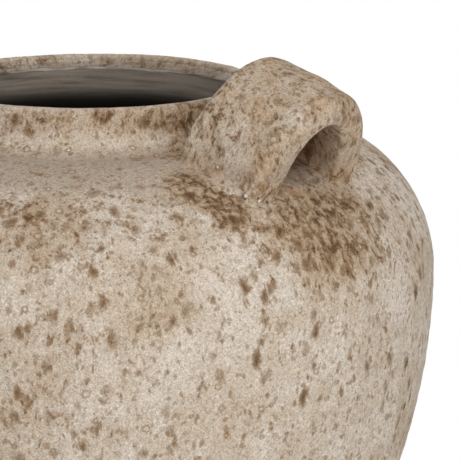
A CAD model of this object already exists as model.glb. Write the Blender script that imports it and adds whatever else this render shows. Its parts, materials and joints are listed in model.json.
"""Looks of a wide-mouthed stoneware storage jar with two strap handles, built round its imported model.

Metres, in the frame of the model: the ground is z = 0, the jar's axis is Z, and the handles stand
on +X and -X. Patterns in the clay are worked out in millimetres.
"""

import json
import math

import bmesh
import bpy
from bpy.props import FloatProperty, FloatVectorProperty, IntProperty, PointerProperty
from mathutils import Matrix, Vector
from mathutils.bvhtree import BVHTree

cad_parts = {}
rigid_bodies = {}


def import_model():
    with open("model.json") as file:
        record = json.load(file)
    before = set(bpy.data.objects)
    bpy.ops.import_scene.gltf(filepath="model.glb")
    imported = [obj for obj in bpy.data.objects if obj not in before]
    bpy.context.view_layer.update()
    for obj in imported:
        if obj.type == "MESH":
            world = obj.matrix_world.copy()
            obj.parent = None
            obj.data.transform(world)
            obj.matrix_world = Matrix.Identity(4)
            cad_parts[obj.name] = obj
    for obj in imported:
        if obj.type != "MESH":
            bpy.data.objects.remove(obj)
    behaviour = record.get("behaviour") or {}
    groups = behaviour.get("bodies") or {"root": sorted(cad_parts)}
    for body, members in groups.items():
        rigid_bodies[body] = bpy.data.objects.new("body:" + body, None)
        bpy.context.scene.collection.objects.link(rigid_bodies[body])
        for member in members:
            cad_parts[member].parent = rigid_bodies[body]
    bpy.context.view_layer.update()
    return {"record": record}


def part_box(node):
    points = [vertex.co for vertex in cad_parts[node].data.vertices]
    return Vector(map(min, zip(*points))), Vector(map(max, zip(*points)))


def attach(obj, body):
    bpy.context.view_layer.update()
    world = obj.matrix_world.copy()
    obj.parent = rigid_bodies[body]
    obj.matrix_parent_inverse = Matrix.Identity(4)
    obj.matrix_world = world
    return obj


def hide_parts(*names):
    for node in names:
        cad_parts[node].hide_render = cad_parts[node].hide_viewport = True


bl_info = {
    "name": "Stoneware storage jar",
    "version": (1, 0),
    "blender": (4, 5, 0),
    "location": "View3D > Sidebar > Jar",
    "description": "Builds a mottled stoneware jar with strap handles, piece by piece",
    "category": "Add Mesh",
}

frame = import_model()
SLOTS = {part["node"]: part["material_slot"] for part in frame["record"]["subparts"]}
MM = 0.001
WALL_RINGS = ("floor_slab", "foot_ring", "lower_wall_ring", "belly_ring", "upper_belly_ring",
              "shoulder_ring", "neck_collar", "lip_coil")


def reach_of(node):
    """Outer radius of a turned node."""
    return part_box(node)[1].x


def top_of(node):
    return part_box(node)[1].z


def bottom_of(node):
    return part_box(node)[0].z


def tint(red, green, blue):
    """Linear colour of a tint given as it looks, each part from 0 to 255."""
    return tuple((part / 255) ** 2.2 for part in (red, green, blue))


def length(name, default, about):
    return FloatProperty(name=name, description=about, default=default, unit="LENGTH", precision=4)


def degrees(name, default, about):
    return FloatProperty(name=name, description=about, default=math.radians(default), unit="ROTATION")


def watts(name, default, about):
    return FloatProperty(name=name, description=about, default=default, unit="POWER")


def colour(name, default, about):
    return FloatVectorProperty(name=name, description=about, default=default, subtype="COLOR", size=3,
                               min=0.0, max=1.0)


class JarForm(bpy.types.PropertyGroup):
    """Sizes of the turned wall."""
    belly_radius: length("Belly radius", reach_of("belly_ring"), "Outer radius at the widest line")
    belly_height: length("Belly height", top_of("belly_ring"), "Height of the widest line")
    base_radius: length("Base radius", 0.110, "Radius that the wall's curve reaches at the ground")
    wall: length("Wall", 0.009, "Thickness of the wall")
    floor: length("Floor", top_of("floor_slab"), "Thickness of the floor")
    foot_bevel: length("Foot bevel", 0.004, "Bevel round the bottom edge")
    foot_joint: length("Foot joint", bottom_of("lower_wall_ring"), "Joint above the foot ring")
    lower_joint: length("Lower joint", bottom_of("belly_ring"), "Joint above the lower ring")
    joint_rise: length("Joint rise", 0.008, "How much higher a joint is on its inside")
    turn_radius: length("Turn radius", 0.077, "Outline radius from the belly to the shoulder")
    turn_angle: degrees("Turn angle", 50.8, "Angle of that stretch")
    neck_radius: length("Neck radius", reach_of("lip_coil"), "Outer radius of the collar")
    cove_radius: length("Cove", 0.015, "Hollow between shoulder and collar")
    bore_radius: length("Bore", 0.0843, "Inner radius of the collar")
    throat_round: length("Throat", 0.006, "Rounding of the collar's lower inner edge")
    crest: length("Crest", top_of("lip_coil"), "Height of the lip")
    lip_joint: length("Lip joint", bottom_of("lip_coil"), "Height of the lip's joint")
    crest_round: length("Crest rounding", 0.0032, "Rounding over the top of the lip")
    slip_overhang: length("Slip overhang", 0.0007, "How far the lip's clay stands in front of the bore")
    turns: IntProperty(name="Turns", description="Steps round the jar", default=720, min=24)
    outside_step: length("Outside step", 0.0017, "Distance between rows outside")
    inside_step: length("Inside step", 0.005, "Distance between rows inside")


class StrapForm(bpy.types.PropertyGroup):
    """Sizes of the handles."""
    near_reach: length("Near reach", 0.110, "Distance from the axis to the edge beside the neck")
    far_reach: length("Far reach", 0.1575, "Distance from the axis to the outer edge")
    near_span: length("Near span", 0.088, "Width across the feet beside the neck")
    far_span: length("Far span", 0.083, "Width across the feet at the outer edge")
    rise: length("Rise", 0.054, "Height of the crown above the shoulder")
    near_lean: degrees("Near lean", 21.0, "Lean of the edge beside the neck")
    far_lean: degrees("Far lean", 27.0, "Lean of the outer edge")
    crown: length("Crown thickness", 0.0155, "Thickness at the crown")
    foot: length("Foot thickness", 0.021, "Thickness at the feet")
    foot_spread: length("Foot spread", 0.0015, "How far each edge widens at the feet")
    outer_round: length("Outer rounding", 0.007, "Rounding of the outer edges")
    near_round: length("Near rounding", 0.0035, "Rounding of the outer edges beside the neck")
    inner_round: length("Inner rounding", 0.0025, "Rounding of the inner edges")
    sunk: length("Sunk", 0.004, "How deep the feet go into the shoulder")
    pad_length: length("Pad length", 0.088, "Length of the clay worked into the shoulder")
    pad_width: length("Pad width", 0.058, "Width of the clay worked into the shoulder")
    pad_drop: length("Pad drop", 0.0004, "How deep the pad's face lies under the shoulder")
    pad_thickness: length("Pad thickness", 0.005, "Thickness of the pad")
    grain: length("Grain", 0.0011, "Size of the facets")
    joint_height: length("Joint height", 0.008, "Height of the joint of strap and luting")


class ClayTints(bpy.types.PropertyGroup):
    """Colours of the fired clay."""
    pale: colour("Pale clay", tint(222, 209, 194), "Palest bare clay")
    warm: colour("Warm clay", tint(206, 189, 168), "Warm bare clay")
    grey: colour("Grey clay", tint(182, 164, 145), "Bare clay of the shoulder")
    tan: colour("Tan clay", tint(186, 161, 134), "Clay between the stains")
    brown: colour("Brown stain", tint(150, 119, 86), "Stain in the clay")
    dark: colour("Dark stain", tint(92, 67, 45), "Middle of the stains")
    pepper: colour("Pepper", tint(104, 98, 93), "Dark grains")
    ochre: colour("Ochre", tint(198, 158, 116), "Orange blush on the handles")
    inside: colour("Inside", tint(158, 147, 134), "Bare clay inside")
    soot: colour("Soot", tint(54, 47, 41), "Dark streaks inside")


class StudioLook(bpy.types.PropertyGroup):
    """Camera and light."""
    lens: FloatProperty(name="Lens", description="Focal length in millimetres", default=213.44,
                        unit="CAMERA")
    distance: length("Distance", 1.5, "Distance from the camera to the middle of the lip")
    elevation: degrees("Elevation", 9.38, "Camera's height above the horizon, seen from the lip")
    azimuth: degrees("Azimuth", 45.1, "Angle from the camera round to the right handle")
    aim_right: degrees("Aim right", 3.070, "How far the camera looks past the lip, to the right")
    aim_down: degrees("Aim down", 12.559, "How far the camera looks below the horizon")
    key_power: watts("Key", 17.0, "Power of the large soft lamp in front")
    fill_power: watts("Fill", 8.5, "Power of the lamp on the right")
    top_power: watts("Top", 5.5, "Power of the lamp overhead")
    rear_power: watts("Rear", 12.0, "Power of the lamp behind")
    ambient: FloatProperty(name="Ambient", description="Strength of the room's light", default=0.36)


def form():
    return bpy.context.scene.jar_form


def strap():
    return bpy.context.scene.jar_strap


def tints():
    return bpy.context.scene.jar_tints


def look():
    return bpy.context.scene.jar_look


# Small steps of modelling

def nothing_selected():
    if bpy.context.mode != "OBJECT":
        bpy.ops.object.mode_set(mode="OBJECT")
    bpy.ops.object.select_all(action="DESELECT")


def take(piece):
    """Make a piece the only selected one."""
    nothing_selected()
    piece.select_set(True)
    bpy.context.view_layer.objects.active = piece
    return piece


def edit(piece, mode="VERT"):
    take(piece)
    bpy.ops.object.mode_set(mode="EDIT")
    bpy.ops.mesh.select_mode(type=mode)


def done():
    bpy.ops.object.mode_set(mode="OBJECT")


def named(piece, name):
    piece.name = name
    piece.data.name = name
    return piece


def copy_of(piece, name):
    take(piece)
    bpy.ops.object.duplicate(linked=False)
    return named(bpy.context.object, name)


def joined(pieces, name):
    """One piece out of several."""
    nothing_selected()
    for piece in pieces:
        piece.select_set(True)
    bpy.context.view_layer.objects.active = pieces[0]
    bpy.ops.object.join()
    return named(bpy.context.object, name)


def select_where(piece, elements, test):
    """In edit mode, select only the vertices, edges or faces that pass a test."""
    mesh = bmesh.from_edit_mesh(piece.data)
    for element in (*mesh.verts, *mesh.edges, *mesh.faces):
        element.select = False
    for element in getattr(mesh, elements):
        if test(element):
            element.select_set(True)
    bmesh.update_edit_mesh(piece.data)


def middle_of(edge):
    return (edge.verts[0].co + edge.verts[1].co) / 2


def finish_modifier(piece, kind, **settings):
    """Add a modifier with its settings and apply it."""
    take(piece)
    modifier = piece.modifiers.new(kind.lower(), kind)
    for key, value in settings.items():
        setattr(modifier, key, value)
    bpy.ops.object.modifier_apply(modifier=modifier.name)


def uneven(piece, size, swing, depth=2, group="", direction="NORMAL"):
    """Uneven surface as left by hands: lumps of a size that swing to either side."""
    texture = bpy.data.textures.new("hand", "CLOUDS")
    texture.noise_scale = size
    texture.noise_depth = depth
    finish_modifier(piece, "DISPLACE", texture=texture, texture_coords="LOCAL", direction=direction,
                    strength=2 * swing, mid_level=0.5, vertex_group=group)
    bpy.data.textures.remove(texture)


def outward_faces(piece):
    """Turn all faces of a closed piece outwards."""
    edit(piece)
    bpy.ops.mesh.select_all(action="SELECT")
    bpy.ops.mesh.normals_make_consistent(inside=False)
    done()


def smooth_faces(piece, limit=45):
    """Smooth the look of all edges that turn by less than a limit in degrees."""
    take(piece)
    bpy.ops.object.shade_smooth_by_angle(angle=math.radians(limit))


def hand_over(piece, *nodes):
    """Let a piece stand for its nodes in the frame."""
    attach(piece, "root")
    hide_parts(*nodes)


# Outline of the jar, drawn as one line in the XZ plane and spun round Z

class Outline:
    """A line drawn point by point from the middle of the ground round to the middle of the floor."""

    def __init__(self):
        nothing_selected()
        bpy.ops.mesh.primitive_plane_add(size=MM)
        self.piece = named(bpy.context.object, "outline")
        bpy.ops.object.mode_set(mode="EDIT")
        bpy.ops.mesh.select_all(action="SELECT")
        bpy.ops.mesh.merge(type="CENTER")
        self.at = Vector((0, 0, 0))
        self.count = 1
        self.groups = {}

    def note(self, names, steps):
        for name in names:
            self.groups.setdefault(name, []).extend(range(self.count - 1, self.count + steps))
        self.count += steps

    def line(self, names, reach, level, step):
        """Straight stretch to a reach from the axis and a level."""
        goal = Vector((reach, 0, level))
        steps = max(1, round((goal - self.at).length / step))
        move = (goal - self.at) / steps
        for _ in range(steps):
            bpy.ops.mesh.extrude_vertices_move(TRANSFORM_OT_translate={"value": move})
        self.at = goal
        self.note(names, steps)

    def arc(self, names, centre, reach, level, step):
        """Arc round a centre, by the shorter way."""
        goal = Vector((reach, 0, level))
        middle = Vector((centre[0], 0, centre[1]))
        start, end = self.at - middle, goal - middle
        angle = math.atan2(start.x * end.z - start.z * end.x, start.x * end.x + start.z * end.z)
        steps = max(2, round(abs(angle) * start.length / step))
        bpy.ops.mesh.spin(steps=steps, angle=angle, center=middle, axis=(0, 1, 0), dupli=False,
                          use_auto_merge=False)
        self.at = goal
        self.note(names, steps)

    def finished(self, name):
        done()
        for group, members in self.groups.items():
            self.piece.vertex_groups.new(name=group).add(members, 1.0, "REPLACE")
        return named(self.piece, name)


class UnderCurve:
    """Arc of the wall from the ground to the belly, set in by a distance."""

    def __init__(self, jar, inset):
        self.radius = ((jar.belly_radius - jar.base_radius) ** 2 + jar.belly_height ** 2) \
            / (2 * (jar.belly_radius - jar.base_radius))
        self.centre = (jar.belly_radius - self.radius, jar.belly_height)
        self.inset = inset

    def reach(self, level):
        """Distance from the axis at a level."""
        arc = self.radius - self.inset
        return self.centre[0] + math.sqrt(arc ** 2 - (self.centre[1] - level) ** 2)


class Shoulder:
    """Outside of the wall from the belly to the cove: a turn, and a flatter arc that carries it on."""

    def __init__(self, jar):
        across, up = math.cos(jar.turn_angle), math.sin(jar.turn_angle)
        self.turn_radius = jar.turn_radius
        self.turn_centre = (jar.belly_radius - jar.turn_radius, jar.belly_height)
        self.turn_point = (self.turn_centre[0] + jar.turn_radius * across,
                           self.turn_centre[1] + jar.turn_radius * up)
        self.turn_in = (self.turn_point[0] - jar.wall * across, self.turn_point[1] - jar.wall * up)
        self.cove_reach = jar.neck_radius + jar.cove_radius
        self.top_radius = (self.turn_point[0] - self.cove_reach) / across
        self.top_centre = (self.cove_reach, self.turn_point[1] - self.top_radius * up)
        self.level = self.top_centre[1] + self.top_radius

    def at(self, reach):
        """Level and slope at a distance from the axis."""
        if reach <= self.cove_reach:
            return self.level, 0.0
        centre, radius = self.top_centre, self.top_radius
        if reach > self.turn_point[0]:
            centre, radius = self.turn_centre, self.turn_radius
        rise = math.sqrt(radius ** 2 - (reach - centre[0]) ** 2)
        return centre[1] + rise, -(reach - centre[0]) / rise


def jar_outline():
    """Outline of the whole wall, with each stretch in the group of its ring."""
    jar = form()
    out_step, in_step = jar.outside_step, jar.inside_step
    under, under_in = UnderCurve(jar, 0.0), UnderCurve(jar, jar.wall)
    over = Shoulder(jar)
    cove_reach, cove_level = over.cove_reach, over.level + jar.cove_radius
    ceiling = over.level - jar.wall
    throat = ceiling + jar.throat_round
    crest_low = jar.crest - jar.crest_round
    crest_mid = jar.neck_radius - jar.crest_round
    lip_in = jar.bore_radius - jar.slip_overhang
    draw = Outline()
    draw.line(["floor_slab"], jar.base_radius - jar.foot_bevel, 0, in_step)
    draw.line(["floor_slab"], under.reach(jar.foot_bevel), jar.foot_bevel, out_step)
    draw.arc(["floor_slab"], under.centre, under.reach(jar.floor), jar.floor, out_step)
    for node, level in (("foot_ring", jar.foot_joint), ("lower_wall_ring", jar.lower_joint),
                        ("belly_ring", jar.belly_height)):
        draw.arc([node], under.centre, under.reach(level), level, out_step)
    draw.arc(["upper_belly_ring"], over.turn_centre, *over.turn_point, out_step)
    draw.arc(["shoulder_ring"], over.top_centre, cove_reach, over.level, out_step)
    draw.arc(["neck_collar"], (cove_reach, cove_level), jar.neck_radius, cove_level, out_step)
    draw.line(["neck_collar"], jar.neck_radius, jar.lip_joint, out_step)
    draw.line(["lip_coil"], jar.neck_radius, crest_low, out_step)
    draw.arc(["lip_coil"], (crest_mid, crest_low), crest_mid, jar.crest, jar.crest_round / 4)
    draw.arc(["lip_coil"], (crest_mid, crest_low), crest_mid - jar.crest_round, crest_low,
             jar.crest_round / 4)
    draw.line(["lip_coil"], lip_in, jar.lip_joint, MM)
    draw.line(["lip_coil", "slip_edge"], jar.bore_radius, jar.lip_joint, MM)
    inside = "inside"
    draw.line(["neck_collar", inside], jar.bore_radius, throat, out_step)
    draw.arc(["neck_collar", inside], (jar.bore_radius + jar.throat_round, throat),
             jar.bore_radius + jar.throat_round, ceiling, out_step)
    draw.line(["neck_collar", inside], cove_reach, ceiling, in_step)
    draw.arc(["shoulder_ring", inside], over.top_centre, *over.turn_in, in_step)
    draw.arc(["upper_belly_ring", inside], over.turn_centre, jar.belly_radius - jar.wall,
             jar.belly_height, in_step)
    for node, level in (("belly_ring", jar.lower_joint + jar.joint_rise),
                        ("lower_wall_ring", jar.foot_joint + jar.joint_rise), ("foot_ring", jar.floor)):
        draw.arc([node, inside], under.centre, under_in.reach(level), level, in_step)
    draw.line(["floor_slab", inside], 0, jar.floor, in_step)
    return draw.finished("jar_wall")


# Faint ridges that a potter's fingers leave round the wall: swing, spacing and start of each
THROWING_MARKS = ((0.00006, 0.0115, 0.4), (0.00004, 0.0073, 2.1), (0.00003, 0.0041, 5.0))
# Lumps in the clay: size, swing and depth of detail
WALL_LUMPS = ((0.110, 0.0004, 2), (0.034, 0.0003, 2), (0.0085, 0.00014, 3))
COIL_LUMPS = ((0.018, 0.0009, 2), (0.006, 0.0003, 2))
STRAP_LUMPS = ((0.024, 0.0005, 2), (0.0075, 0.0003, 3))
SLIP_LUMPS = (0.012, 0.0016, 2)


def throwing_marks(piece):
    """Move the outline in and out along the ridges."""
    for vertex in piece.data.vertices:
        if vertex.co.x > form().base_radius / 2 and vertex.co.z > form().foot_bevel:
            level = vertex.co.z
            vertex.co.x += sum(swing * math.sin(2 * math.pi * level / spacing + start)
                               for swing, spacing, start in THROWING_MARKS)


def spun_wall():
    """The whole wall as one closed form."""
    wall = jar_outline()
    throwing_marks(wall)
    finish_modifier(wall, "SCREW", axis="Z", angle=2 * math.pi, steps=form().turns,
                    render_steps=form().turns, use_merge_vertices=True, merge_threshold=MM / 1000)
    edit(wall)
    bpy.ops.mesh.select_all(action="SELECT")
    bpy.ops.mesh.remove_doubles(threshold=MM / 1000)
    done()
    outward_faces(wall)
    worked = wall.vertex_groups.new(name="worked")
    worked.add([v.index for v in wall.data.vertices if v.co.z > form().foot_bevel / 2], 1.0, "REPLACE")
    for lumps in WALL_LUMPS:
        uneven(wall, *lumps, "worked")
    uneven(wall, *SLIP_LUMPS, "slip_edge", "Z")
    return wall


def close_joints(ring):
    """Close the open loops at the lower and the upper joint of a ring."""
    low, high = (corner[2] for corner in (ring.bound_box[0], ring.bound_box[6]))
    middle = (low + high) / 2
    edit(ring, "EDGE")
    for above in (False, True):
        select_where(ring, "edges",
                     lambda edge: edge.is_boundary and (middle_of(edge).z > middle) == above)
        if any(edge.select for edge in bmesh.from_edit_mesh(ring.data).edges):
            bpy.ops.mesh.bridge_edge_loops()
    done()


def ring_from(wall, node):
    """Take one ring out of the wall."""
    edit(wall)
    bpy.ops.mesh.select_all(action="DESELECT")
    wall.vertex_groups.active = wall.vertex_groups[node]
    bpy.ops.object.vertex_group_select()
    before = set(bpy.context.scene.objects)
    bpy.ops.mesh.separate(type="SELECTED")
    done()
    ring = (set(bpy.context.scene.objects) - before).pop()
    named(ring, node.replace("_ring", "_wall_piece") if node.endswith("_ring") else node + "_piece")
    close_joints(ring)
    outward_faces(ring)
    return ring


def line_inside(ring, lining):
    """Give the faces of the inside their own clay."""
    ring.data.materials.append(lining)
    edit(ring)
    bpy.ops.mesh.select_all(action="DESELECT")
    ring.vertex_groups.active = ring.vertex_groups["inside"]
    bpy.ops.object.vertex_group_select()
    ring.active_material_index = 1
    bpy.ops.object.material_slot_assign()
    done()


class JAR_OT_wall(bpy.types.Operator):
    """Spin the wall and part it into its rings"""
    bl_idname = "jar.wall"
    bl_label = "Wall rings"

    def execute(self, context):
        wall = spun_wall()
        for node in WALL_RINGS:
            ring = ring_from(wall, node)
            ring.data.materials.clear()
            ring.data.materials.append(clay(SLOTS[node]))
            if node != "lip_coil":
                line_inside(ring, lining())
            smooth_faces(ring)
            hand_over(ring, node)
        bpy.data.objects.remove(wall)
        return {"FINISHED"}


# Steps of the seam coil's mesh along it and round it, and how far its middle lies inside its outer
# reach, in its own radii
COIL_STEPS = (256, 24)
COIL_INSET = 1.6


class JAR_OT_seam_coil(bpy.types.Operator):
    """Press a coil into the corner of the floor"""
    bl_idname = "jar.seam_coil"
    bl_label = "Seam coil"

    def execute(self, context):
        low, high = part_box("floor_seam_coil")
        thick = (high.z - low.z) / 2
        nothing_selected()
        bpy.ops.mesh.primitive_torus_add(major_segments=COIL_STEPS[0], minor_segments=COIL_STEPS[1],
                                         major_radius=high.x - COIL_INSET * thick, minor_radius=thick,
                                         location=(0, 0, low.z + thick))
        bpy.ops.object.transform_apply(location=True)
        coil = named(bpy.context.object, "floor_seam_coil_piece")
        for lumps in COIL_LUMPS:
            uneven(coil, *lumps)
        coil.data.materials.append(lining())
        smooth_faces(coil, 60)
        hand_over(coil, "floor_seam_coil")
        return {"FINISHED"}


# Handles

class Arch:
    """Middle of a strap: an arch over the shoulder, between its near and its far edge."""

    def __init__(self, side):
        straps = strap()
        self.side = side
        self.shoulder = Shoulder(form())
        self.across = Vector((0, 1, 0))
        self.edges = []
        for reach, lean, span in ((straps.near_reach, straps.near_lean, straps.near_span),
                                  (straps.far_reach, straps.far_lean, straps.far_span)):
            foot = Vector((reach, 0, self.shoulder.at(reach)[0]))
            self.edges.append((foot, Vector((math.sin(lean), 0, math.cos(lean))), span / 2))

    def thickness(self, angle):
        """Thickness at an angle along the arch, from 0 at the front foot to pi at the back one."""
        return strap().crown + (strap().foot - strap().crown) * math.cos(angle) ** 2

    def edge_points(self, angle, drop):
        """Middle of the thickness at the near and the far edge, sunk by a drop."""
        half = self.thickness(angle) / 2
        rise = (strap().rise - half) * math.sin(angle) - drop
        return [foot - self.across * ((reach - half) * math.cos(angle)) + up * rise
                for foot, up, reach in self.edges]

    def section(self, angle, drop):
        """Middle, width direction, outward direction and half sizes of a section."""
        near, far = self.edge_points(angle, drop)
        width = (far - near).normalized()
        step = math.radians(1)
        if drop > 0:
            along = (self.edges[0][1] + self.edges[1][1]) * (1 if angle < math.pi / 2 else -1)
        else:
            before, after = self.edge_points(angle - step, 0), self.edge_points(angle + step, 0)
            along = after[0] + after[1] - before[0] - before[1]
        outward = width.cross(along).normalized()
        spread = strap().foot_spread * math.cos(angle) ** 4
        half_width = (far - near).length / 2 + spread
        return (near + far) / 2, width, outward, half_width, self.thickness(angle) / 2

    def pressed(self, angle, share):
        """How far thumbs have raised or sunk the outer face, at a share of the half width."""
        return sum(height * math.exp(-((math.degrees(angle) - middle) / spread) ** 2
                                     - ((share - across) / breadth) ** 2)
                   for middle, across, height, spread, breadth in THUMB_MARKS)

    def turned(self, point):
        """A point on this side's handle."""
        return Vector((self.side * point.x, self.side * point.y, point.z))

    def foot(self, end):
        """Middle of a foot on the shoulder, and the shoulder's outward direction there."""
        near, far = self.edge_points(0 if end < 0 else math.pi, 0)
        middle = (near + far) / 2
        reach = math.hypot(middle.x, middle.y)
        level, slope = self.shoulder.at(reach)
        outward = Vector((-slope * middle.x / reach, -slope * middle.y / reach, 1)).normalized()
        return self.turned(Vector((middle.x, middle.y, level))), self.turned(outward)


# Marks of the potter's thumbs: degrees along the arch, share of the half width across it, height, and
# how far the mark spreads along and across
THUMB_MARKS = (
    (116, 0.0, 0.0017, 17, 0.6),
    (128, 0.95, 0.0009, 18, 0.4),
    (84, 1.0, -0.0008, 10, 0.4),
    (62, 0.3, -0.0010, 16, 0.7),
    (38, -0.4, 0.0007, 14, 0.5),
    (94, 0.8, -0.0004, 12, 0.5),
    (150, -0.2, -0.0009, 16, 0.8),
)
# Steps of the mesh round a corner, over a face, down a sunk foot and along the arch
CORNER_STEPS = 8
EDGE_STEPS = 20
LEG_STEPS = 6
ARCH_STEPS = 110
# The pad is taken from faces of the shoulder that lie no deeper than this under the foot, and whose
# direction has at least this share upwards
PAD_DEPTH = 0.012
PAD_UPWARD = 0.05
# Where the joint of strap and shoulder is smoothed over: it fades between these heights over the
# shoulder and these distances from the strap, and loses this share between these distances from the axis
MELT_HEIGHT = (0.004, 0.010)
MELT_FROM_STRAP = (0.005, 0.010)
MELT_REACH = (0.128, 0.150)
MELT_LOST = 0.85
MELT_ROUNDS = 30
# Heights over the shoulder at which the strap starts to be uneven and is fully so
PULLED_HEIGHT = (0.003, 0.014)


def section_ring(half_width, half_thick):
    """Points round a section, as (along the width, outward): round outer corners, tight inner ones."""
    outer, near, inner = strap().outer_round, strap().near_round, strap().inner_round
    corners = []
    for number, (x_side, y_side, rounding) in enumerate(((1, 1, outer), (-1, 1, near), (-1, -1, inner),
                                                         (1, -1, inner))):
        centre = Vector((x_side * (half_width - rounding), y_side * (half_thick - rounding)))
        turns = [math.pi / 2 * (number + step / CORNER_STEPS) for step in range(CORNER_STEPS + 1)]
        corners.append([centre + rounding * Vector((math.cos(turn), math.sin(turn))) for turn in turns])

    def face(start, end):
        return [start.lerp(end, step / EDGE_STEPS) for step in range(1, EDGE_STEPS)]

    first, second, third, fourth = corners
    return first + face(first[-1], second[0]) + second + third + face(third[-1], fourth[0]) + fourth


def strap_form(arch):
    """Closed strap with its feet sunk into the shoulder."""
    stations = [(0.0, strap().sunk * (1 - n / LEG_STEPS)) for n in range(LEG_STEPS)]
    stations += [(math.pi * n / ARCH_STEPS, 0.0) for n in range(ARCH_STEPS + 1)]
    stations += [(math.pi, strap().sunk * (n + 1) / LEG_STEPS) for n in range(LEG_STEPS)]
    rows = []
    for angle, drop in stations:
        middle, width, outward, half_width, half_thick = arch.section(angle, drop)
        row = []
        for point in section_ring(half_width, half_thick):
            outer_share = (1 + point.y / half_thick) / 2
            level = point.y + arch.pressed(angle, point.x / half_width) * outer_share
            row.append(arch.turned(middle + width * point.x + outward * level))
        rows.append(row)
    across = len(rows[0])
    nothing_selected()
    bpy.ops.mesh.primitive_grid_add(x_subdivisions=across, y_subdivisions=len(rows) - 1, size=1)
    piece = named(bpy.context.object, "strap_form")
    for number, vertex in enumerate(piece.data.vertices):
        row, place = divmod(number, across + 1)
        vertex.co = rows[row][place % across]
    edit(piece, "EDGE")
    bpy.ops.mesh.select_all(action="SELECT")
    bpy.ops.mesh.remove_doubles(threshold=MM / 1000)
    for end in (-1, 1):
        select_where(piece, "edges", lambda edge: edge.is_boundary and middle_of(edge).y * end > 0)
        bpy.ops.mesh.edge_face_add()
    done()
    outward_faces(piece)
    return piece


def pad_form(shoulder, foot, outward, side):
    """Clay worked into the shoulder round a foot, a little under the shoulder's face."""
    pad = copy_of(shoulder, "pad_form")
    along = Vector((side, 0, 0))
    beside = outward.cross(along).normalized()
    half_length, half_width = strap().pad_length / 2, strap().pad_width / 2

    def kept(face):
        place = face.calc_center_median() - foot
        reach, across = place.dot(along) / half_length, place.dot(beside) / half_width
        on_top = place.dot(outward) > -PAD_DEPTH and face.normal.z > PAD_UPWARD
        return reach ** 2 + across ** 2 < 1 and on_top

    edit(pad, "FACE")
    select_where(pad, "faces", lambda face: not kept(face))
    bpy.ops.mesh.delete(type="FACE")
    done()
    finish_modifier(pad, "DISPLACE", strength=-strap().pad_drop, mid_level=0.0)
    finish_modifier(pad, "SOLIDIFY", thickness=strap().pad_thickness, offset=-1.0)
    return pad


def tree_of(piece):
    """Search tree for distances to a piece."""
    piece.data.calc_loop_triangles()
    return BVHTree.FromPolygons([v.co for v in piece.data.vertices],
                                [t.vertices for t in piece.data.loop_triangles])


def eased(value, low, high):
    """0 below low, 1 above high, eased between them."""
    share = min(1.0, max(0.0, (value - low) / (high - low)))
    return share * share * (3 - 2 * share)


def weigh(piece, name, rule):
    """Vertex group whose weights follow a rule."""
    group = piece.vertex_groups.new(name=name)
    for vertex in piece.data.vertices:
        weight = rule(vertex.co)
        if weight > 0:
            group.add([vertex.index], weight, "REPLACE")


def handle_form(side):
    """Strap and pads grown into one form, smoothed where they meet."""
    arch = Arch(side)
    rings = [copy_of(bpy.data.objects[name], "turned") for name in
             ("upper_belly_wall_piece", "shoulder_wall_piece", "neck_collar_piece")]
    shoulder = joined(rings, "shoulder_form")
    strap_piece = strap_form(arch)
    straps = tree_of(strap_piece)
    pads = []
    for end in (-1, 1):
        foot, outward = arch.foot(end)
        pads.append(pad_form(shoulder, foot, outward, side))
    ground = tree_of(shoulder)
    bpy.data.objects.remove(shoulder)
    whole = joined([strap_piece, *pads], "handle_form")
    finish_modifier(whole, "REMESH", mode="VOXEL", voxel_size=strap().grain)

    def above(point):
        return ground.find_nearest(point)[3]

    def melting(point):
        outer = eased(math.hypot(point.x, point.y), *MELT_REACH)
        low = 1 - eased(above(point), *MELT_HEIGHT)
        close = 1 - eased(straps.find_nearest(point)[3], *MELT_FROM_STRAP)
        return low * (1 - MELT_LOST * outer) * close

    def pulled(point):
        return eased(above(point), *PULLED_HEIGHT)

    weigh(whole, "melting", melting)
    weigh(whole, "pulled", pulled)
    finish_modifier(whole, "SMOOTH", factor=0.5, iterations=2)
    finish_modifier(whole, "SMOOTH", factor=0.5, iterations=MELT_ROUNDS, vertex_group="melting")
    for lumps in STRAP_LUMPS:
        uneven(whole, *lumps, "pulled")
    return arch, whole


def part_off(whole, foot, outward, side, end):
    """Cut the luted foot off a handle along a plane over the shoulder."""
    joint = foot + outward * strap().joint_height

    def on_this_leg(face):
        return face.calc_center_median().y * end * side > 0

    def luted(face):
        return on_this_leg(face) and (face.calc_center_median() - joint).dot(outward) < 0

    edit(whole, "FACE")
    select_where(whole, "faces", on_this_leg)
    bpy.ops.mesh.bisect(plane_co=joint, plane_no=outward, use_fill=False, clear_inner=False,
                        clear_outer=False)
    select_where(whole, "faces", luted)
    before = set(bpy.context.scene.objects)
    bpy.ops.mesh.separate(type="SELECTED")
    done()
    return (set(bpy.context.scene.objects) - before).pop()


def close_cuts(piece):
    """Close the open ends that a cut has left."""
    edit(piece, "EDGE")
    bpy.ops.mesh.select_all(action="DESELECT")
    bpy.ops.mesh.select_non_manifold(extend=False, use_wire=False, use_boundary=True,
                                     use_multi_face=False, use_non_contiguous=False, use_verts=False)
    bpy.ops.mesh.fill_holes(sides=0)
    done()
    outward_faces(piece)


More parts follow.
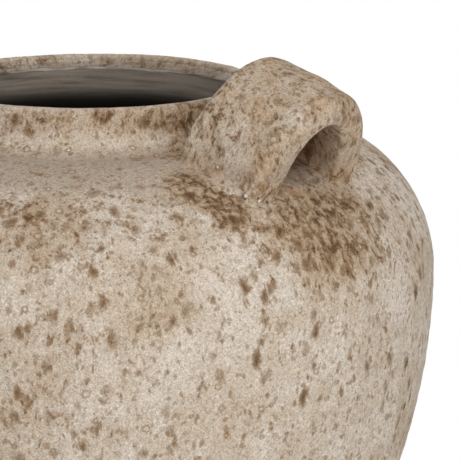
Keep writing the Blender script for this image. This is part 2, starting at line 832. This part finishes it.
class JAR_OT_handles(bpy.types.Operator):
    """Pull the straps and lute them to the shoulder"""
    bl_idname = "jar.handles"
    bl_label = "Strap handles"

    def execute(self, context):
        for side, name in ((1, "right"), (-1, "left")):
            arch, whole = handle_form(side)
            for end, place in ((-1, "front"), (1, "back")):
                foot, outward = arch.foot(end)
                luted = part_off(whole, foot, outward, side, end)
                named(luted, f"{name}_handle_{place}_foot")
                close_cuts(luted)
                self.dress(luted, f"{name}_handle_{place}_luting")
            named(whole, f"{name}_handle_arch")
            close_cuts(whole)
            self.dress(whole, f"{name}_handle_strap")
        return {"FINISHED"}

    def dress(self, piece, node):
        piece.data.materials.clear()
        piece.data.materials.append(clay(SLOTS[node]))
        smooth_faces(piece, 50)
        hand_over(piece, node)


# Finishes

class Reading:
    """A number, vector or colour that varies over the clay, read from a node's socket."""

    def __init__(self, nodes, socket):
        self.nodes = nodes
        self.socket = socket

    def math(self, operation, *values, clamp=False):
        return self.nodes.node("ShaderNodeMath", {"operation": operation, "use_clamp": clamp},
                                dict(enumerate(values)))

    def __add__(self, other):
        return self.math("ADD", self, other)

    __radd__ = __add__

    def __sub__(self, other):
        return self.math("SUBTRACT", self, other)

    def __rsub__(self, other):
        return self.math("SUBTRACT", other, self)

    def __mul__(self, other):
        return self.math("MULTIPLY", self, other)

    __rmul__ = __mul__

    def clamped(self):
        """Kept from 0 to 1."""
        return self.math("ADD", self, 0.0, clamp=True)

    def larger(self, other):
        return self.math("MAXIMUM", self, other)

    def smaller(self, other):
        return self.math("MINIMUM", self, other)

    def rise(self, low, high):
        """0 below low, 1 above high, eased between them."""
        return self.nodes.node("ShaderNodeMapRange", {"interpolation_type": "SMOOTHSTEP"},
                                {"Value": self, "From Min": low, "From Max": high})

    def fall(self, low, high):
        """1 below low, 0 above high."""
        return 1 - self.rise(low, high)

    def band(self, start, end):
        """1 between two stretches, each given by its ends, and eased to 0 over them."""
        return self.rise(*start) * self.fall(*end)


class Nodes:
    """Nodes of a material or of the room, added one by one."""

    def __init__(self, tree):
        self.tree = tree

    def node(self, kind, settings=None, values=None, out=0):
        """Add a node with its settings, and with values or links for its sockets."""
        made = self.tree.nodes.new(kind)
        for key, value in (settings or {}).items():
            setattr(made, key, value)
        for key, value in (values or {}).items():
            self.feed(made.inputs[key], value)
        return Reading(self, made.outputs[out])

    def feed(self, socket, value):
        if isinstance(value, Reading):
            self.tree.links.new(value.socket, socket)
        else:
            socket.default_value = value

    def seen_by_camera(self, share, plain, bright):
        """The bright shader in place of the plain one, by a share, where the camera looks at it."""
        seen = self.node("ShaderNodeLightPath")
        return self.node("ShaderNodeMixShader", values={0: seen * share, 1: plain, 2: bright})


class Finish(Nodes):
    """A material."""

    def __init__(self, name):
        self.material = bpy.data.materials.new(name)
        self.material.use_nodes = True
        super().__init__(self.material.node_tree)
        self.shader = self.tree.nodes["Principled BSDF"]

    def vector(self, operation, *values, out=0):
        return self.node("ShaderNodeVectorMath", {"operation": operation}, dict(enumerate(values)), out)

    def place(self):
        """Place on the jar in millimetres."""
        held = self.node("ShaderNodeTexCoord", out=3)
        return self.vector("MULTIPLY", held, (1000, 1000, 1000))

    def parts(self, vector):
        split = self.node("ShaderNodeSeparateXYZ", values={"Vector": vector})
        return [Reading(self, out) for out in split.socket.node.outputs]

    def joined(self, x, y, z):
        return self.node("ShaderNodeCombineXYZ", values={"X": x, "Y": y, "Z": z})

    def scale_of(self, place, size, stretch=(1, 1, 1), shift=0.0):
        """Place in steps of a size, moved so that patterns don't repeat each other."""
        steps = tuple(share / size for share in stretch)
        return self.vector("MULTIPLY_ADD", place, steps, (shift, shift, shift))

    def lumps(self, place, size, detail=2.0, rough=0.5, stretch=(1, 1, 1), shift=0.0):
        """Soft noise with lumps of a size, from 0 to 1."""
        steps = self.scale_of(place, size, stretch, shift)
        return self.node("ShaderNodeTexNoise", values={"Vector": steps, "Scale": 1.0, "Detail": detail,
                                                       "Roughness": rough})

    def swirled(self, place, size, reach):
        """Place moved to and fro, so that patterns on it lose their even shapes."""
        sway = self.node("ShaderNodeTexNoise", values={"Vector": self.scale_of(place, size), "Scale": 1.0,
                                                       "Detail": 1.0}, out=1)
        return self.vector("MULTIPLY_ADD", sway, (reach,) * 3, place)

    def cells(self, place, size, shift=0.0):
        """Distance in mm to the nearest of many scattered points, and that point's random numbers."""
        steps = self.scale_of(place, size, shift=shift)
        found = self.node("ShaderNodeTexVoronoi", {"feature": "F1"}, {"Vector": steps, "Scale": 1.0})
        chances = self.parts(Reading(self, found.socket.node.outputs["Color"]))
        return found * size, chances

    def blob(self, place, centre, spread):
        """1 in the middle of a patch, falling to 0 at its edge."""
        away = self.vector("SUBTRACT", place, centre)
        scaled = self.vector("DIVIDE", away, spread)
        return self.vector("LENGTH", scaled, out=1).fall(0.25, 1.0)

    def scaled(self, vector, factor):
        return self.node("ShaderNodeVectorMath", {"operation": "SCALE"}, {0: vector, 3: factor})

    def mix(self, share, first, second):
        """Colour between two others, each a reading or a plain colour."""
        first, second = (c if isinstance(c, Reading) else (*c, 1.0) for c in (first, second))
        return self.node("ShaderNodeMix", {"data_type": "RGBA"}, {0: share, 6: first, 7: second}, 2)

    def layered(self, body, *layers):
        """Colour under layers of others, each given by its share and its colour."""
        for share, shade in layers:
            body = self.mix(share, body, shade)
        return body

    def finished(self, body, rough, specular, height):
        """Wire the colour, the roughness, the highlights and the relief in millimetres."""
        bump = self.node("ShaderNodeBump", values={"Height": height, "Distance": MM, "Strength": 1.0})
        for socket, value in (("Base Color", body), ("Roughness", rough),
                              ("Specular IOR Level", specular), ("Normal", bump)):
            self.feed(self.shader.inputs[socket], value)
        return self.material


# Stains round the right handle in millimetres: middle, spread and depth. The left handle's are the
# same ones turned half round. Negative depths are pale places.
STAINS = (
    ((180, -6, 275), (34, 68, 36), 1.00),
    ((188, 4, 254), (22, 56, 20), 0.40),
    ((187, 34, 248), (22, 26, 16), 0.30),
    ((166, 0, 294), (30, 52, 20), 0.25),
    ((134, 12, 312), (36, 28, 26), 1.10),
    ((160, 42, 298), (16, 14, 16), -0.50),
    ((136, -60, 298), (26, 19, 18), 1.45),
    ((157, -55, 288), (21, 17, 15), 1.30),
    ((176, 78, 262), (24, 30, 24), 0.35),
    ((104, -33, 306), (16, 15, 16), 1.10),
    ((93, -16, 319), (12, 20, 17), 1.30),
    ((128, -48, 304), (20, 12, 12), 0.45),
    ((99, -50, 308), (16, 14, 10), 0.45),
    ((88, -36, 321), (12, 13, 11), 0.60),
    ((136, 60, 298), (24, 17, 18), 0.65),
    ((96, 24, 316), (12, 22, 16), 0.65),
    ((181, -51, 252), (9, 7, 6), 0.70),
    ((157, -107, 245), (12, 10, 12), 0.50),
    ((129, -142, 234), (14, 12, 11), 0.45),
    ((104, -133, 282), (40, 28, 26), 0.45),
    ((120, -140, 215), (50, 40, 60), 0.36),
    ((100, -140, 165), (60, 50, 50), 0.20),
    ((144, -123, 183), (20, 16, 12), 0.50),
    ((72, -61, 327), (8, 8, 7), 0.75),
    ((168, -66, 270), (14, 14, 13), -0.30),
    ((175, -72, 226), (38, 34, 34), -0.15),
    ((178, 74, 236), (26, 26, 50), -0.12),
)
# Smoke on the wall that shows through the handle: middle and spread
SMOKE = ((132, 4, 307), (46, 34, 30))
# Small marks round the front foot: grains that glint, pits beside them, and pale and orange creases
# where the foot was pressed on, each as its middle and size in millimetres
GLINTS = (((154.1, -41.5, 292.6), 1.4), ((158.4, -35.8, 289.8), 1.2))
PITS = (((153.9, -41.6, 291.3), 1.1), ((158.9, -30.5, 288.2), 1.8), ((158.7, -37.3, 291.3), 1.2))
PALE_CREASES = (((139.0, -42.5, 300.5), 3.0), ((143.0, -42.5, 297.9), 3.2), ((146.9, -42.3, 295.6), 3.0),
                ((150.8, -42.1, 293.8), 2.6))
ORANGE_CREASES = (((157.0, -12.1, 291.5), 3.4), ((158.8, -8.7, 290.5), 3.6), ((160.4, -5.1, 289.4), 3.6),
                  ((162.1, -2.3, 288.1), 3.0))
# How stained each clay is all over, and how strong its large spots are
SLOT_STAIN = {"stained_handle": 0.52, "stained_lip": 0.08, "stained_neck": 0.08, "stoneware_body": 0.04}
LARGE_SPOTS = {"stained_handle": 0.45, "stained_lip": 0.45, "stained_neck": 0.70, "stoneware_body": 1.0}
# Spots by kind: spacing, smallest and largest size in millimetres, how much their number grows with the
# stain and what it is without, shift of the pattern, and strength of the spots and of their middles
SPOTS = {
    "small": (4.0, 0.6, 1.4, 1.1, 0.72, 13.0, 0.75, 0.4),
    "tiny": (2.4, 0.3, 0.9, 1.2, 0.55, 23.0, 0.5, 0.3),
    "large": (7.6, 1.3, 3.2, 1.1, 0.52, 17.0, 1.0, 0.9),
}
# Heights in millimetres between which a finish comes in. A band has a second stretch, where it goes
# out again.
ABOVE_BELLY = (205, 265)
SHOULDER_BAND = ((262, 282), (294, 299))
SMOOTHED_BAND = ((294, 300), (307, 312))
UNDER_LIP = (312, 323)
CREST = (327.5, 330)
LIT_COLLAR = (300, 318)
LIT_BELLY = (262, 290)
BRIGHT_COLLAR = (303, 313)
BRIGHT_BELLY = (270, 295)
# Height of the slip that has run in over the lip, and distances from the axis at the lip's inner edge
SLIP_LEVEL = 319.4
INNER_LIP = (86, 89)
GLINT_COLOUR = (0.95, 0.93, 0.90)
# Materials that are made already, by name
FINISHES = {}


def turned_place(finish, place):
    """Place as seen from the right handle, on either side of the jar."""
    x, y, z = finish.parts(place)
    side = x.math("SIGN", x)
    return finish.joined(x * side, y * side, z)


def stain_share(finish, turned, z, slot):
    """How stained the clay is: about 0 where it is bare, and over 1 in the heaviest stains."""
    share = z.band(*SHOULDER_BAND) * 0.26 + z.rise(*ABOVE_BELLY) * 0.14 + SLOT_STAIN[slot]
    if slot != "stained_handle":
        share = share + z.rise(*UNDER_LIP) * 0.50
    for centre, spread, depth in STAINS:
        share = share + finish.blob(turned, centre, spread) * depth
    return share


def marks(finish, turned, listed):
    """Small round marks at listed places."""
    found = 0.0
    for centre, size in listed:
        found = finish.blob(turned, centre, (size,) * 3) + found
    return found.clamped()


def blisters(finish, place, bent):
    """Small burst bubbles: a brown ring with a pale middle, and here and there a bright grain."""
    away, (chance, other, _) = finish.cells(place, 8.0)
    away = away + (bent - 0.5) * 2.5
    common = chance.rise(0.45, 0.55)
    from_ring = away - (other * 1.2 + 0.6)
    ring = from_ring.band((-0.8, -0.1), (0.2, 1.2)) * common
    middle = from_ring.fall(-0.7, -0.3) * common
    bright = away.fall(0.25, 0.5) * chance.rise(0.93, 0.94)
    return ring, middle, bright


def spot_layer(finish, place, size, small, large, density, bent, shift):
    """Roundish soft spots and their darker middles, more of them where the density is high."""
    away, (chance, other, depth) = finish.cells(place, size, shift)
    edge = away + (bent - 0.5) * large * 0.7 - other * (large - small) - small
    there = (density - chance).rise(-0.05, 0.05) * (depth * 0.6 + 0.4)
    return edge.fall(-0.6 * small, 0.9 * small) * there, edge.fall(-0.8 * large, 0.1) * there


def clay(slot):
    """Bare mottled stoneware."""
    if slot in FINISHES:
        return FINISHES[slot]
    finish = Finish("fired_" + slot)
    shades = {name: tuple(getattr(tints(), name)) for name in ClayTints.__annotations__}
    place = finish.place()
    z = finish.parts(place)[2]
    turned = turned_place(finish, place)
    smoothed = z.band(*SMOOTHED_BAND)

    # Noises, from the broadest to the finest
    broad = finish.lumps(place, 42, shift=11.0)
    cluster = finish.lumps(place, 15, detail=3.0, rough=0.6, stretch=(1, 1, 0.6), shift=3.0)
    veil = finish.lumps(place, 13, detail=3.0, shift=31.0)
    tall = finish.vector("MULTIPLY", finish.swirled(place, 9.0, 6.0), (1, 1, 0.62))
    spots = finish.lumps(tall, 3.6, detail=3.0, rough=0.65, shift=7.0)
    specks = finish.lumps(place, 2.0, detail=3.0, rough=0.7, shift=2.0)
    grain = finish.lumps(place, 0.85, rough=0.7)
    pepper = finish.lumps(place, 0.95, detail=1.0, rough=0.6, shift=5.0).rise(0.62, 0.72)

    # Stains: blotches, and spots of three sizes with their middles
    density = stain_share(finish, turned, z, slot) * 0.5 + (cluster - 0.5) * 0.9 - smoothed * 0.15
    tanned = (density + (broad - 0.5) * 0.8).rise(0.02, 0.66)
    mottle = spots * 0.75 + specks * 0.25 + density.smaller(0.75) * 0.24
    stained, deep = mottle.rise(0.56, 0.74), mottle.rise(0.63, 0.79)
    for kind, (apart, small, large, more, least, shift, strength, core) in SPOTS.items():
        whole, heart = spot_layer(finish, tall, apart, small, large, density * more + least, specks, shift)
        share = LARGE_SPOTS[slot] if kind == "large" else 1.0
        stained, deep = stained + whole * (share * strength), deep + heart * (share * core)
    stained, deep = stained.clamped(), deep.clamped()
    ring, middle, bright = blisters(finish, place, specks)
    bright = bright.larger(marks(finish, turned, GLINTS))
    smoke = finish.blob(turned, *SMOKE) * (spots * 0.9 + 0.33)

    body = finish.mix((broad * 0.5 + veil * 0.5).rise(0.35, 0.62), shades["pale"], shades["warm"])
    body = finish.layered(body, (smoothed * 0.7, shades["grey"]), (tanned * 0.8, shades["tan"]))
    if slot == "stained_handle":
        blush = finish.lumps(place, 16, shift=21.0).rise(0.45, 0.75)
        body = finish.mix(blush * 0.35, body, shades["ochre"])
    body = finish.layered(body, (stained * 0.85, shades["brown"]), (deep * 0.88, shades["dark"]),
                          (ring * 0.6, shades["brown"]), (middle * 0.35, shades["pale"]),
                          (smoke.clamped(), shades["dark"]), (pepper * 0.50, shades["pepper"]))
    body = finish.scaled(body, 1 + (grain - 0.5) * 1.4 + (specks - 0.5) * 0.9)
    if slot == "stained_lip":
        away = finish.vector("LENGTH", finish.vector("MULTIPLY", place, (1, 1, 0)), out=1)
        body = finish.layered(body, (away.fall(*INNER_LIP) * 0.44, shades["pepper"]),
                              (z.rise(*CREST) * 0.22, shades["pale"]))
    body = finish.layered(body, (marks(finish, turned, PALE_CREASES) * 0.45, shades["pale"]),
                          (marks(finish, turned, ORANGE_CREASES) * 0.55, shades["ochre"]),
                          (marks(finish, turned, PITS) * 0.85, shades["soot"]),
                          (bright * 0.9, GLINT_COLOUR))
    height = grain * 0.10 + specks * 0.22 + spots * 0.20 + ring * 0.10 + bright * 0.1 - stained * 0.04
    FINISHES[slot] = finish.finished(body, stained * -0.08 + 0.92, 0.25, height)
    return FINISHES[slot]


def lining():
    """Smoke-darkened clay of the inside, with the marks of brush and fingers."""
    if "lining" in FINISHES:
        return FINISHES["lining"]
    finish = Finish("fired_lining")
    pale, bare, soot = (tuple(shade) for shade in (tints().pale, tints().inside, tints().soot))
    place = finish.place()
    z = finish.parts(place)[2]
    streaks = finish.lumps(place, 2.2, detail=3.0, rough=0.6, stretch=(0.06, 0.06, 1.0)) * 0.6 + 0.2
    broad = finish.lumps(place, 14.0, stretch=(0.25, 0.25, 1.0), shift=4.0)
    grain = finish.lumps(place, 1.1)
    lit = z.rise(*LIT_COLLAR) * 1.15 + z.fall(*LIT_BELLY) * 0.30 + 0.10
    wiped = (streaks + broad * 0.5 - 0.25).rise(0.1, 0.75) * lit
    slip = (z - (finish.lumps(place, 16.0, shift=9.0) * 4.0 + SLIP_LEVEL)).rise(0.0, 1.2)
    body = finish.layered(soot, (wiped, bare), (slip * 0.95, pale), ((grain - 0.5).clamped() * 0.6, soot))
    shade = z.rise(*BRIGHT_COLLAR) + z.fall(*BRIGHT_BELLY)
    body = finish.scaled(body, shade.clamped() * 0.85 + 0.15)
    height = streaks * 0.35 + grain * 0.05 + slip * 0.4
    FINISHES["lining"] = finish.finished(body, 0.9, 0.2, height)
    return FINISHES["lining"]


# Stage

WHITE = (1.0, 1.0, 1.0, 1.0)
FLOOR_COLOUR = (0.85, 0.85, 0.85, 1.0)
FLOOR_SIZE = 12.0
# The floor looks white to the camera by this share close to the jar, and more and more so between
# these distances from the axis in millimetres
NEAR_WHITE = 0.62
WHITER = (180, 300)
# Point that the lamps shine at
AIM = Vector((0, 0, 0.22))
# How far each lamp stands from that point towards the camera, to the right and up, and its size
LAMPS = {
    "key": (2.1, 0.1, 0.75, 1.8, 1.6),
    "fill": (1.6, 1.9, 0.6, 1.4, 1.4),
    "top": (0.5, 0.0, 1.9, 1.6, 1.6),
    "rear": (-2.1, 0.0, 1.1, 1.8, 1.4),
}


def floor_finish():
    """Pale floor that keeps the jar's shadow close by and is white further off."""
    finish = Finish("pale_floor")
    finish.feed(finish.shader.inputs["Base Color"], FLOOR_COLOUR)
    finish.feed(finish.shader.inputs["Roughness"], 0.9)
    away = finish.vector("LENGTH", finish.place(), out=1)
    white = finish.node("ShaderNodeEmission", values={"Color": WHITE, "Strength": 1.0})
    share = away.rise(*WHITER) * (1 - NEAR_WHITE) + NEAR_WHITE
    both = finish.seen_by_camera(share, Reading(finish, finish.shader.outputs[0]), white)
    finish.feed(finish.tree.nodes["Material Output"].inputs["Surface"], both)
    return finish.material


def studio_world():
    """Even light all round, and white behind the jar."""
    world = bpy.data.worlds.new("studio")
    bpy.context.scene.world = world
    world.use_nodes = True
    room = Nodes(world.node_tree)
    light = world.node_tree.nodes["Background"]
    room.feed(light.inputs["Color"], WHITE)
    room.feed(light.inputs["Strength"], look().ambient)
    white = room.node("ShaderNodeBackground", values={"Color": WHITE, "Strength": 1.0})
    both = room.seen_by_camera(1.0, Reading(room, light.outputs[0]), white)
    room.feed(world.node_tree.nodes["World Output"].inputs["Surface"], both)


def lamp(name, place, power, width, height):
    """Soft lamp that shines at the jar."""
    nothing_selected()
    bpy.ops.object.light_add(type="AREA", location=place)
    made = bpy.context.object
    made.name = name
    made.data.shape = "RECTANGLE"
    made.data.size = width
    made.data.size_y = height
    made.data.energy = power
    made.rotation_euler = (AIM - place).to_track_quat("-Z", "Y").to_euler()


class JAR_OT_stage(bpy.types.Operator):
    """Set the floor, the light and the camera"""
    bl_idname = "jar.stage"
    bl_label = "Stage"

    def execute(self, context):
        nothing_selected()
        bpy.ops.mesh.primitive_plane_add(size=FLOOR_SIZE)
        ground = named(bpy.context.object, "floor")
        ground.data.materials.append(floor_finish())
        studio_world()
        self.set_camera()
        back, right = self.view_axes()
        for name, (near, beside, above, width, height) in LAMPS.items():
            place = AIM + back * near + right * beside + Vector((0, 0, above))
            lamp(name, place, getattr(look(), name + "_power"), width, height)
        context.scene.view_settings.view_transform = "Standard"
        return {"FINISHED"}

    def view_axes(self):
        """Level directions from the jar to the camera, and to the camera's right."""
        azimuth = look().azimuth
        back = Vector((math.cos(azimuth), -math.sin(azimuth), 0))
        return back, Vector((-back.y, back.x, 0))

    def set_camera(self):
        shown = look()
        back, right = self.view_axes()
        up = Vector((0, 0, 1))
        lip = up * form().crest
        place = lip + (back * math.cos(shown.elevation) + up * math.sin(shown.elevation)) * shown.distance
        level = right * math.sin(shown.aim_right) - back * math.cos(shown.aim_right)
        ahead = level * math.cos(shown.aim_down) - up * math.sin(shown.aim_down)
        nothing_selected()
        bpy.ops.object.camera_add(location=place, rotation=ahead.to_track_quat("-Z", "Y").to_euler())
        camera = bpy.context.object
        camera.name = "camera"
        camera.data.sensor_width = 36.0
        camera.data.lens = shown.lens
        camera.data.clip_end = 50.0
        bpy.context.scene.camera = camera


class JAR_PT_panel(bpy.types.Panel):
    """Steps of the jar, in their order"""
    bl_idname = "JAR_PT_panel"
    bl_label = "Storage jar"
    bl_space_type = "VIEW_3D"
    bl_region_type = "UI"
    bl_category = "Jar"

    def draw(self, context):
        for step in STEPS:
            self.layout.operator(step.bl_idname)
        for group in (form(), strap(), tints(), look()):
            box = self.layout.box()
            for name in group.bl_rna.properties.keys():
                if name not in ("rna_type", "name"):
                    box.prop(group, name)


GROUPS = {"jar_form": JarForm, "jar_strap": StrapForm, "jar_tints": ClayTints, "jar_look": StudioLook}
STEPS = (JAR_OT_wall, JAR_OT_seam_coil, JAR_OT_handles, JAR_OT_stage)


def register():
    for group in GROUPS.values():
        bpy.utils.register_class(group)
    for step in (*STEPS, JAR_PT_panel):
        bpy.utils.register_class(step)
    for name, group in GROUPS.items():
        setattr(bpy.types.Scene, name, PointerProperty(type=group))


def unregister():
    for name in GROUPS:
        delattr(bpy.types.Scene, name)
    for step in (JAR_PT_panel, *reversed(STEPS)):
        bpy.utils.unregister_class(step)
    for group in GROUPS.values():
        bpy.utils.unregister_class(group)


def main():
    register()
    nothing_selected()
    bpy.ops.jar.wall()
    bpy.ops.jar.seam_coil()
    bpy.ops.jar.handles()
    bpy.ops.jar.stage()


if __name__ == "__main__":
    main()
